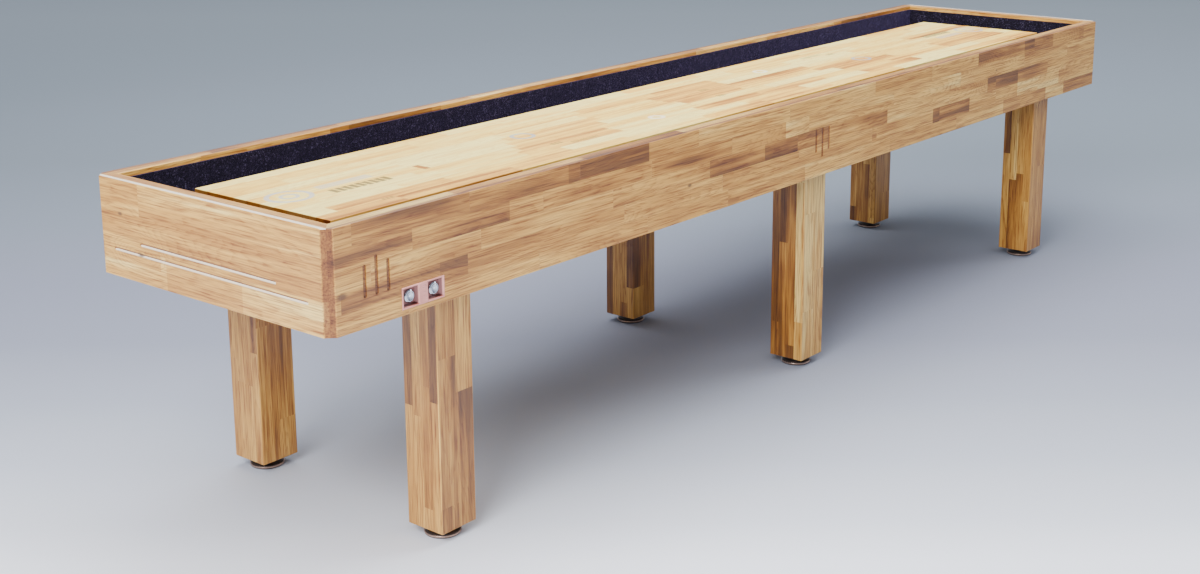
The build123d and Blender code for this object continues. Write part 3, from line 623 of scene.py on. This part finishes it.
leg_oak = timber(
    "leg_oak", "ZXY", (0.38, LEG_WIDTH / 2, LEG_WIDTH / 4), OAK_TONES, OAK_LINE, seed=8.0, end_tone=OAK_END,
    fold=fold_to_leg, bend=0.024, ring=0.0040, spread=0.65, tuned=leg_tones_with_painted_shade, base=0.40,
)
give(leg_oak, *[f"{side}_leg_{station}" for side, station in LEG_PLACES])

# %% [markdown]
# ## Playfield
# The playfield is a maple butcher block under a gloss coat: ten strips, cream and yellow, with a few tan
# ones, and darker end grain at its two ends. Plain marks are printed under the coat. They could be thin
# plates of their own, but ink has no thickness, so each mark is a region of the colour instead: a ring, a
# row of dashes and a few dots, described by their distances from a point.

# %% Printed marks
INK_GREY, INK_KHAKI = rgb(178, 184, 194), rgb(92, 78, 38)
INK_BLUE, INK_PALE = rgb(150, 170, 192), rgb(252, 248, 240)


def ellipse_ring(x, y, centre, size, line):
    """A ring of the given half sizes and line width, as a mask."""
    across, along = (x - centre[0]) / size[0], (y - centre[1]) / size[1]
    off = abs((across * across + along * along) ** 0.5 - 1.0) * size[1]
    return off.ramp(line * 0.35, line * 0.5, 1.0, 0.0)


def dash_row(x, y, start, end, width, pitch, gap, middle):
    """A row of upright dashes along X between two ends, as a mask."""
    inside = (x > start) * (x < end) * (abs(y - middle) < width / 2)
    return inside * (((x - start) / pitch).fract() > gap)


def playfield_marks(finish, place, color, fibre):
    """Generic marks, mirrored so that both ends can be played."""
    x, y, _ = place
    end_x, end_y = -1.0 * abs(x), y * x.math("SIGN") * -1.0
    worn = 0.72 + fibre * 0.5
    marks = (
        (INK_GREY, 0.75, ellipse_ring(end_x, end_y, (-1.595, 0.000), (0.052, 0.047), 0.013)),
        (INK_GREY, 0.75, ellipse_ring(end_x, end_y, (-1.595, 0.000), (0.020, 0.018), 0.010)),
        (INK_GREY, 0.45, dash_row(end_x, end_y, -1.505, -1.345, 0.030, 0.160, 0.0, 0.012)),
        (INK_KHAKI, 0.80, dash_row(end_x, end_y, -1.510, -1.332, 0.034, 0.0198, 0.25, -0.040)),
        (INK_KHAKI, 0.55, dash_row(end_x, end_y, -1.488, -1.452, 0.012, 0.012, 0.3, -0.182)),
        (INK_BLUE, 0.75, ellipse_ring(end_x, end_y, (-0.798, 0.026), (0.030, 0.028), 0.012)),
        (INK_KHAKI, 0.60, dash_row(end_x, end_y, -0.832, -0.790, 0.016, 0.014, 0.3, -0.100)),
        (INK_KHAKI, 0.50, dash_row(end_x, end_y, -0.780, -0.674, 0.016, 0.012, 0.35, -0.124)),
        (INK_PALE, 0.60, ellipse_ring(end_x, end_y, (-0.388, -0.095), (0.020, 0.018), 0.014)),
        (INK_KHAKI, 0.55, dash_row(end_x, end_y, -0.040, 0.000, 0.020, 0.013, 0.35, -0.045)),
    )
    for ink, strength, mask in marks:
        color = finish.mix(mask * worn * strength, color, ink)
    return color


# %% Finish of the playfield
MAPLE_TONES = [
    (0.00, rgb(176, 116, 46)),
    (0.16, rgb(212, 154, 70)),
    (0.34, rgb(240, 188, 84)),
    (0.60, rgb(253, 212, 104)),
    (1.00, rgb(255, 234, 142)),
]
PLAYFIELD_PATCHES = [((-1.62, -1.22), (-0.093, 0.046), 0.85), ((-1.677, -1.30), (0.139, 0.185), 0.45)]
STRIP_WIDTH = (PLAYFIELD[1][1] - PLAYFIELD[0][1]) / 10
maple = timber(
    "maple", "XYZ", (0.36, STRIP_WIDTH, 0.9), MAPLE_TONES, rgb(206, 164, 112), seed=3.0, ring=0.0050,
    ring_depth=0.28, pores=0.10, end_tone=rgb(112, 82, 64), roughness=0.42, coat=0.05, ior=1.30,
    patches=PLAYFIELD_PATCHES, base=0.62, spread=1.0, cloud=1.0, streak=1.3, fibres=1.4, joint_depth=0.15,
    marks=playfield_marks,
)
print("playfield strips are", round(STRIP_WIDTH, 3), "wide")
give(maple, "playfield")

# %% [markdown]
# ## Frame timber
# The bearers, ribs, stringers, ledgers and blocks inside the cabinet are plain planed softwood, and the
# gutter floors are plywood. They use the same recipe with other swatches and wider pieces, and no coat.

# %% Finish of the frame
PINE_TONES = [(0.0, rgb(196, 152, 98)), (0.5, rgb(218, 178, 122)), (1.0, rgb(232, 200, 150))]
plain = {"coat": 0.0, "roughness": 0.6, "streak": 0.2, "joint_depth": 0.2}
pine_along = timber("pine_along", "XZY", (4.0, 0.9, 0.9), PINE_TONES, rgb(176, 124, 72), seed=11.0, **plain)
pine_across = timber("pine_across", "YXZ", (4.0, 0.35, 0.9), PINE_TONES, rgb(176, 124, 72), seed=12.0, **plain)
plywood = timber("plywood", "XYZ", (4.0, 0.9, 0.002), PINE_TONES, rgb(184, 136, 84), seed=13.0, **plain)
give(pine_along, "front_stringer", "back_stringer", "gutter_ledgers")
give(pine_across, "near_bearer", "mid_bearer", "far_bearer", "cradle_ribs", "corner_blocks")
give(plywood, "front_gutter_floor", "back_gutter_floor", "near_gutter_floor", "far_gutter_floor")

# %% [markdown]
# ## Metal, plastic and rubber
# Zinc plated steel holds the frame together and stays out of sight. The button plate is a rose coloured
# metal with a fine brushed grain, the buttons are chromed, and the feet are dark moulded rubber. Each is a
# Principled BSDF whose roughness changes a little over the surface, because a surface without any change
# looks like a computer's.

# %% Finish of metals
def metal(
    name, color, other, roughness, brushed=(1.0, 1.0, 1.0), scale=400.0, depth=0.00002, face=None, **constants
):
    """Metal with a slight change of tone and roughness, drawn out along a brushing direction, and with painted
    shade deeper in from a given face.
    """
    finish = Finish(name, metallic=1.0, **constants)
    coordinates = finish.node("ShaderNodeTexCoord", output="Object")
    grain = finish.noise(finish.stretch(coordinates, brushed), scale, detail=3.0)
    cloud = finish.noise(coordinates, 24.0, detail=2.0)
    shade = finish.mix((grain * 0.5 + cloud * 0.5).ramp(0.3, 0.7), color, other)
    if face:
        # painted shade: the plate gets darker deeper inside its button pockets
        inwards = finish.split(coordinates)[1] - face
        shade = finish.mix(inwards.ramp(0.0006, 0.0040) * 0.8, shade, rgb(62, 40, 48))
    return finish.feed(
        color=shade, roughness=roughness + (grain - 0.5) * 0.16 + (cloud - 0.5) * 0.08, bump=grain, depth=depth
    )


PLATE_FACE_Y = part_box("button_plate")[0][1]
zinc = metal("zinc_steel", rgb(188, 190, 194), rgb(160, 164, 170), 0.38)
rose = metal(
    "rose_metal", rgb(232, 166, 154), rgb(214, 144, 132), 0.30, brushed=(0.05, 1.0, 1.0), scale=900.0,
    face=PLATE_FACE_Y,
)
chrome = metal("chrome", rgb(196, 198, 206), rgb(170, 172, 182), 0.09, scale=60.0)
give(zinc, "steel_angles", "wood_screws", "adjuster_plates", "adjuster_rods", "adjuster_nuts", "leg_bolts")
give(zinc, "leg_washers", "leg_nuts", "foot_inserts", "foot_locknuts", "button_nuts")
give(zinc, "button_spring_a", "button_spring_b")
give(zinc, *[f"{side}_foot_stem_{station}" for side, station in LEG_PLACES])
give(rose, "button_plate")
give(chrome, "button_bodies", "button_cap_a", "button_cap_b")


# %% Finish of plastics
def moulded(name, color, other, roughness, scale, depth, **constants):
    """Moulded plastic or rubber with a fine texture."""
    finish = Finish(name, **constants)
    coordinates = finish.node("ShaderNodeTexCoord", output="Object")
    grain = finish.noise(coordinates, scale, detail=3.0)
    cloud = finish.noise(coordinates, scale * 0.05, detail=2.0)
    shade = finish.mix(cloud.ramp(0.35, 0.65), color, other)
    return finish.feed(color=shade, roughness=roughness + (grain - 0.5) * 0.2, bump=grain, depth=depth)


black = moulded("black_plastic", rgb(30, 30, 33), rgb(38, 38, 42), 0.5, 1400.0, 0.00004, ior=1.5)
rubber = moulded("foot_rubber", rgb(44, 36, 32), rgb(62, 50, 44), 0.36, 900.0, 0.00005, ior=1.5, coat_weight=0.3)
lens = moulded(
    "button_lens", rgb(240, 244, 248), rgb(228, 234, 242), 0.12, 300.0, 0.00001, ior=1.49, coat_weight=0.6
)
give(black, "score_transmitter", "button_switches")
give(lens, "button_lens_a", "button_lens_b")
give(rubber, *[f"{side}_foot_base_{station}" for side, station in LEG_PLACES])

# %% [markdown]
# ## Gutter carpet
# A short-pile carpet, almost black with a blue and violet fleck, lines the gutter. It is glued up the inside
# of each board and across the gutter floor in one piece, with a soft bend between the two. A block of the
# right size would do for collisions, but the real thing is a sheet, so each piece starts as one row of a
# plane, and its lower edge is extruded down the board, round the bend and across the floor. Solidify gives
# it its thickness, and a Displace with clouds makes the pile uneven.

# %% Finish of the carpet
def carpet_finish():
    finish = Finish(
        "carpet", sheen_weight=0.65, sheen_roughness=0.4, sheen_tint=rgb(124, 108, 176), specular_ior_level=0.15
    )
    coordinates = finish.node("ShaderNodeTexCoord", output="Object")
    tufts = finish.node(
        "ShaderNodeTexVoronoi", {"voronoi_dimensions": "3D"}, {"Vector": coordinates, "Scale": 330.0},
        output="Color",
    )
    chance, other, _ = finish.split(tufts)
    bumps = finish.noise(coordinates, 420.0, detail=2.0)
    cloud = finish.noise(coordinates, 45.0, detail=3.0)
    color = finish.colors(
        chance * 0.75 + bumps * 0.45 + (cloud - 0.5) * 0.5 - 0.1,
        [(0.0, rgb(6, 4, 9)), (0.45, rgb(16, 12, 22)), (0.78, rgb(31, 24, 41)), (1.0, rgb(80, 72, 98))],
    )
    height = bumps * 0.6 + other * 0.4
    return finish.feed(color=color, roughness=0.9 + (bumps - 0.5) * 0.1, bump=height, depth=0.0012)


carpet_pile = carpet_finish()
print("carpet finish has", len(carpet_pile.node_tree.nodes), "nodes")

# %% Tools for modelling
def deselect():
    if bpy.context.object and bpy.context.object.mode == "EDIT":
        bpy.ops.object.mode_set(mode="OBJECT")
    bpy.ops.object.select_all(action="DESELECT")


def select_edges(mesh_object, test):
    """Selects the edges of the edited mesh whose two ends pass a test."""
    bpy.ops.mesh.select_mode(type="EDGE")
    bpy.ops.mesh.select_all(action="DESELECT")
    edited = bmesh.from_edit_mesh(mesh_object.data)
    for edge in edited.edges:
        edge.select_set(all(test(mesh_object.matrix_world @ vertex.co) for vertex in edge.verts))
    edited.select_flush(False)
    bmesh.update_edit_mesh(mesh_object.data)


def settle(piece, body, material, smooth=35):
    """Puts a finished piece's place into its mesh, and gives it a body and a finish."""
    deselect()
    piece.select_set(True)
    bpy.context.view_layer.objects.active = piece
    bpy.ops.object.transform_apply(location=True, rotation=True, scale=True)
    bpy.ops.object.shade_smooth_by_angle(angle=math.radians(smooth))
    piece.data.materials.clear()
    piece.data.materials.append(material)
    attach(piece, body)
    print(piece.name, "has", len(piece.data.polygons), "faces")


# %% Shape of one carpet
CARPET_THICKNESS = 0.0040
CARPET_CLEARANCE = 0.0006
BEND = 0.005
BEND_ANGLES = (22.5, 45, 67.5, 90)
GRID = 0.010


def carpet_path(low, high, floor_reach):
    """Points down the board, round the bend and across the floor: (distance from the board, height)."""
    steps = round((high - low - BEND) / GRID)
    path = [(0.0, high - (high - low - BEND) * k / steps) for k in range(steps + 1)]
    for angle in map(math.radians, BEND_ANGLES):
        path.append((BEND * (1 - math.cos(angle)), low + BEND * (1 - math.sin(angle))))
    steps = round((floor_reach - BEND) / GRID)
    return path + [(BEND + (floor_reach - BEND) * (k + 1) / steps, low) for k in range(steps)]


print("a carpet with 0.1 m of floor has", len(carpet_path(0.654, 0.788, 0.1)), "rows of points")


# %% Making one carpet
def lay_carpet(piece, path, place_of, axis, reach, floor_reach):
    """Extrudes the lower edge of the first row along the path, narrower where it leaves the board."""
    bpy.ops.object.mode_set(mode="EDIT")
    for step in range(2, len(path)):
        previous = place_of(step - 1)
        limit = (floor_reach if path[step - 1][0] > 0 else reach) + 0.5 * GRID

        def on_lower_edge(place):
            off_row = abs(place[1 - axis] - previous[1 - axis]) + abs(place[2] - previous[2])
            return abs(place[axis]) <= limit and off_row < 1e-5

        select_edges(piece, on_lower_edge)
        bpy.ops.mesh.extrude_edges_move(TRANSFORM_OT_translate={"value": place_of(step) - previous})
    bpy.ops.mesh.select_all(action="SELECT")
    bpy.ops.mesh.normals_make_consistent(inside=False)
    bpy.ops.object.mode_set(mode="OBJECT")


def give_pile(piece):
    """Thickness towards the gutter, and a slightly uneven pile."""
    thick = piece.modifiers.new("pile", "SOLIDIFY")
    thick.thickness = CARPET_THICKNESS
    thick.offset = 1.0
    bpy.ops.object.modifier_apply(modifier=thick.name)
    clouds = bpy.data.textures.new(piece.name + "_clouds", "CLOUDS")
    clouds.noise_scale = 0.06
    uneven = piece.modifiers.new("uneven", "DISPLACE")
    uneven.texture = clouds
    uneven.texture_coords = "LOCAL"
    uneven.strength = 0.0006
    uneven.mid_level = 0.5
    bpy.ops.object.modifier_apply(modifier=uneven.name)


def carpet(name, along, side, reach, floor_reach, node):
    """A carpet whose rows run along X or Y, on the board at the given side (-1 or 1)."""
    low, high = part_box(node)
    axis = "XY".index(along)
    board, edge = (pick(abs(low[1 - axis]), abs(high[1 - axis])) for pick in (max, min))
    wall_place = board - CARPET_CLEARANCE
    path = carpet_path(
        low[2] + CARPET_CLEARANCE, high[2] - CARPET_CLEARANCE, wall_place - (edge + CARPET_CLEARANCE)
    )

    def place_of(step):
        off, height = path[step]
        across = side * (wall_place - off)
        return Vector((0, across, height)) if axis == 0 else Vector((across, 0, height))

    deselect()
    bpy.ops.mesh.primitive_grid_add(
        x_subdivisions=round(2 * reach / GRID), y_subdivisions=1, size=1.0,
        location=(place_of(0) + place_of(1)) / 2, rotation=(math.pi / 2, 0, axis * math.pi / 2),
    )
    piece = bpy.context.object
    piece.name = name
    piece.scale = (2 * reach, path[0][1] - path[1][1], 1)
    bpy.ops.object.transform_apply(location=True, rotation=True, scale=True)
    lay_carpet(piece, path, place_of, axis, reach, floor_reach)
    inward = -place_of(0)[1 - axis]
    if piece.data.polygons[0].normal[1 - axis] * inward < 0:
        piece.data.flip_normals()
    give_pile(piece)
    settle(piece, "table", carpet_pile, smooth=60)
    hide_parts(node)
    sheet_width = sum(math.dist(a, b) for a, b in zip(path, path[1:]))
    wall_height = path[0][1] - path[-1][1]
    area = 2 * reach * wall_height + 2 * floor_reach * (sheet_width - wall_height)
    print(name, "is cut from", round(sheet_width, 3), "by", round(2 * reach, 3), "m")


# %% Four carpets
CORNER_GAP = 0.0006
SIDE_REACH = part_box("front_gutter_carpet")[1][0] - CORNER_GAP
SIDE_FLOOR_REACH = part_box("front_gutter_floor")[1][0] - CORNER_GAP
END_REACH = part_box("near_gutter_carpet")[1][1] - CORNER_GAP
for place, side in (("front", -1), ("back", 1)):
    node, floor_node = f"{place}_gutter_carpet", f"{place}_gutter_floor"
    carpet(f"{place}_carpet", "X", side, SIDE_REACH, SIDE_FLOOR_REACH, node)
for place, side in (("near", -1), ("far", 1)):
    node, floor_node = f"{place}_gutter_carpet", f"{place}_gutter_floor"
    carpet(f"{place}_carpet", "Y", side, END_REACH, END_REACH, node)

# %% [markdown]
# ## Rims of the feet
# A bright metal band runs round each foot and catches the light under the leg. It is a ring with rounded
# edges. A torus would be too thin in its middle and a cylinder has no hole, so a small rectangle is
# bevelled and then spun once round the axis of the foot, one ring for each foot.

# %% Foot rims
RIM_LOW, RIM_HIGH = 0.0028, 0.0072
RIM_INNER, RIM_OUTER = 0.0405, 0.0426
rim_metal = metal("foot_rim", rgb(206, 176, 160), rgb(180, 150, 134), 0.30, brushed=(1.0, 1.0, 0.1))


def foot_rim(name, node, body):
    low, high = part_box(node)
    centre = Vector(((low[0] + high[0]) / 2, (low[1] + high[1]) / 2, 0))
    middle = centre + Vector(((RIM_INNER + RIM_OUTER) / 2, 0, (RIM_LOW + RIM_HIGH) / 2))
    deselect()
    bpy.ops.mesh.primitive_plane_add(size=1.0, location=middle, rotation=(math.pi / 2, 0, 0))
    piece = bpy.context.object
    piece.name = name
    piece.scale = (RIM_OUTER - RIM_INNER, RIM_HIGH - RIM_LOW, 1)
    bpy.ops.object.transform_apply(location=True, rotation=True, scale=True)
    bpy.ops.object.mode_set(mode="EDIT")
    bpy.ops.mesh.select_mode(type="VERT")
    bpy.ops.mesh.select_all(action="SELECT")
    bpy.ops.mesh.bevel(offset=0.0008, segments=3, affect="VERTICES")
    bpy.ops.mesh.select_all(action="SELECT")
    bpy.ops.mesh.spin(steps=72, angle=math.tau, center=centre, axis=(0, 0, 1))
    bpy.ops.mesh.select_all(action="SELECT")
    bpy.ops.mesh.remove_doubles(threshold=0.00001)
    bpy.ops.mesh.select_all(action="DESELECT")
    bpy.ops.mesh.select_interior_faces()
    bpy.ops.mesh.delete(type="FACE")
    bpy.ops.mesh.select_all(action="SELECT")
    bpy.ops.mesh.normals_make_consistent(inside=False)
    bpy.ops.object.mode_set(mode="OBJECT")
    settle(piece, body, rim_metal)


for side, station in LEG_PLACES:
    foot_rim(f"{side}_rim_{station}", f"{side}_foot_base_{station}", f"{side}_foot_{station}")

# %% [markdown]
# ## Springs of the buttons
# Behind each button cap a coil spring pushes it back out. A rigid spring would be run through by the cap, and
# here the spring is one fixed piece of the table. A circle of wire, set off from the axis of the spring, is
# carried round and along that axis by a Screw modifier, which makes an even coil in one step.

# %% Button springs
SPRING_TURNS = 5
WIRE_RADIUS = 0.0006


def button_spring(name, node):
    low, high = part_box(node)
    centre = Vector(((low[0] + high[0]) / 2, low[1] + WIRE_RADIUS, (low[2] + high[2]) / 2))
    coil_radius = (high[0] - low[0]) / 2 - WIRE_RADIUS
    coil_length = high[1] - low[1] - 2 * WIRE_RADIUS
    deselect()
    bpy.ops.mesh.primitive_circle_add(vertices=10, radius=WIRE_RADIUS, location=centre)
    piece = bpy.context.object
    piece.name = name
    bpy.ops.object.mode_set(mode="EDIT")
    bpy.ops.mesh.select_all(action="SELECT")
    bpy.ops.transform.translate(value=(coil_radius, 0, 0))
    bpy.ops.object.mode_set(mode="OBJECT")
    wind = piece.modifiers.new("wind", "SCREW")
    wind.axis = "Y"
    wind.iterations = SPRING_TURNS
    wind.screw_offset = coil_length / SPRING_TURNS
    wind.steps = wind.render_steps = 32
    bpy.ops.object.modifier_apply(modifier=wind.name)
    bpy.ops.object.mode_set(mode="EDIT")
    bpy.ops.mesh.select_all(action="SELECT")
    bpy.ops.mesh.fill_holes(sides=10)
    bpy.ops.mesh.select_all(action="SELECT")
    bpy.ops.mesh.normals_make_consistent(inside=False)
    bpy.ops.object.mode_set(mode="OBJECT")
    settle(piece, "table", zinc)
    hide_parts(node)
    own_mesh(piece)
    ends = [round(pick(v.co.y for v in piece.data.vertices), 4) for pick in (min, max)]
    box_ends = [round(low[1], 4), round(high[1], 4)]
    print(name, "runs in Y from", ends[0], "to", ends[1], "in a box from", box_ends[0], "to", box_ends[1])


button_spring("spring_a", "button_spring_a")
button_spring("spring_b", "button_spring_b")
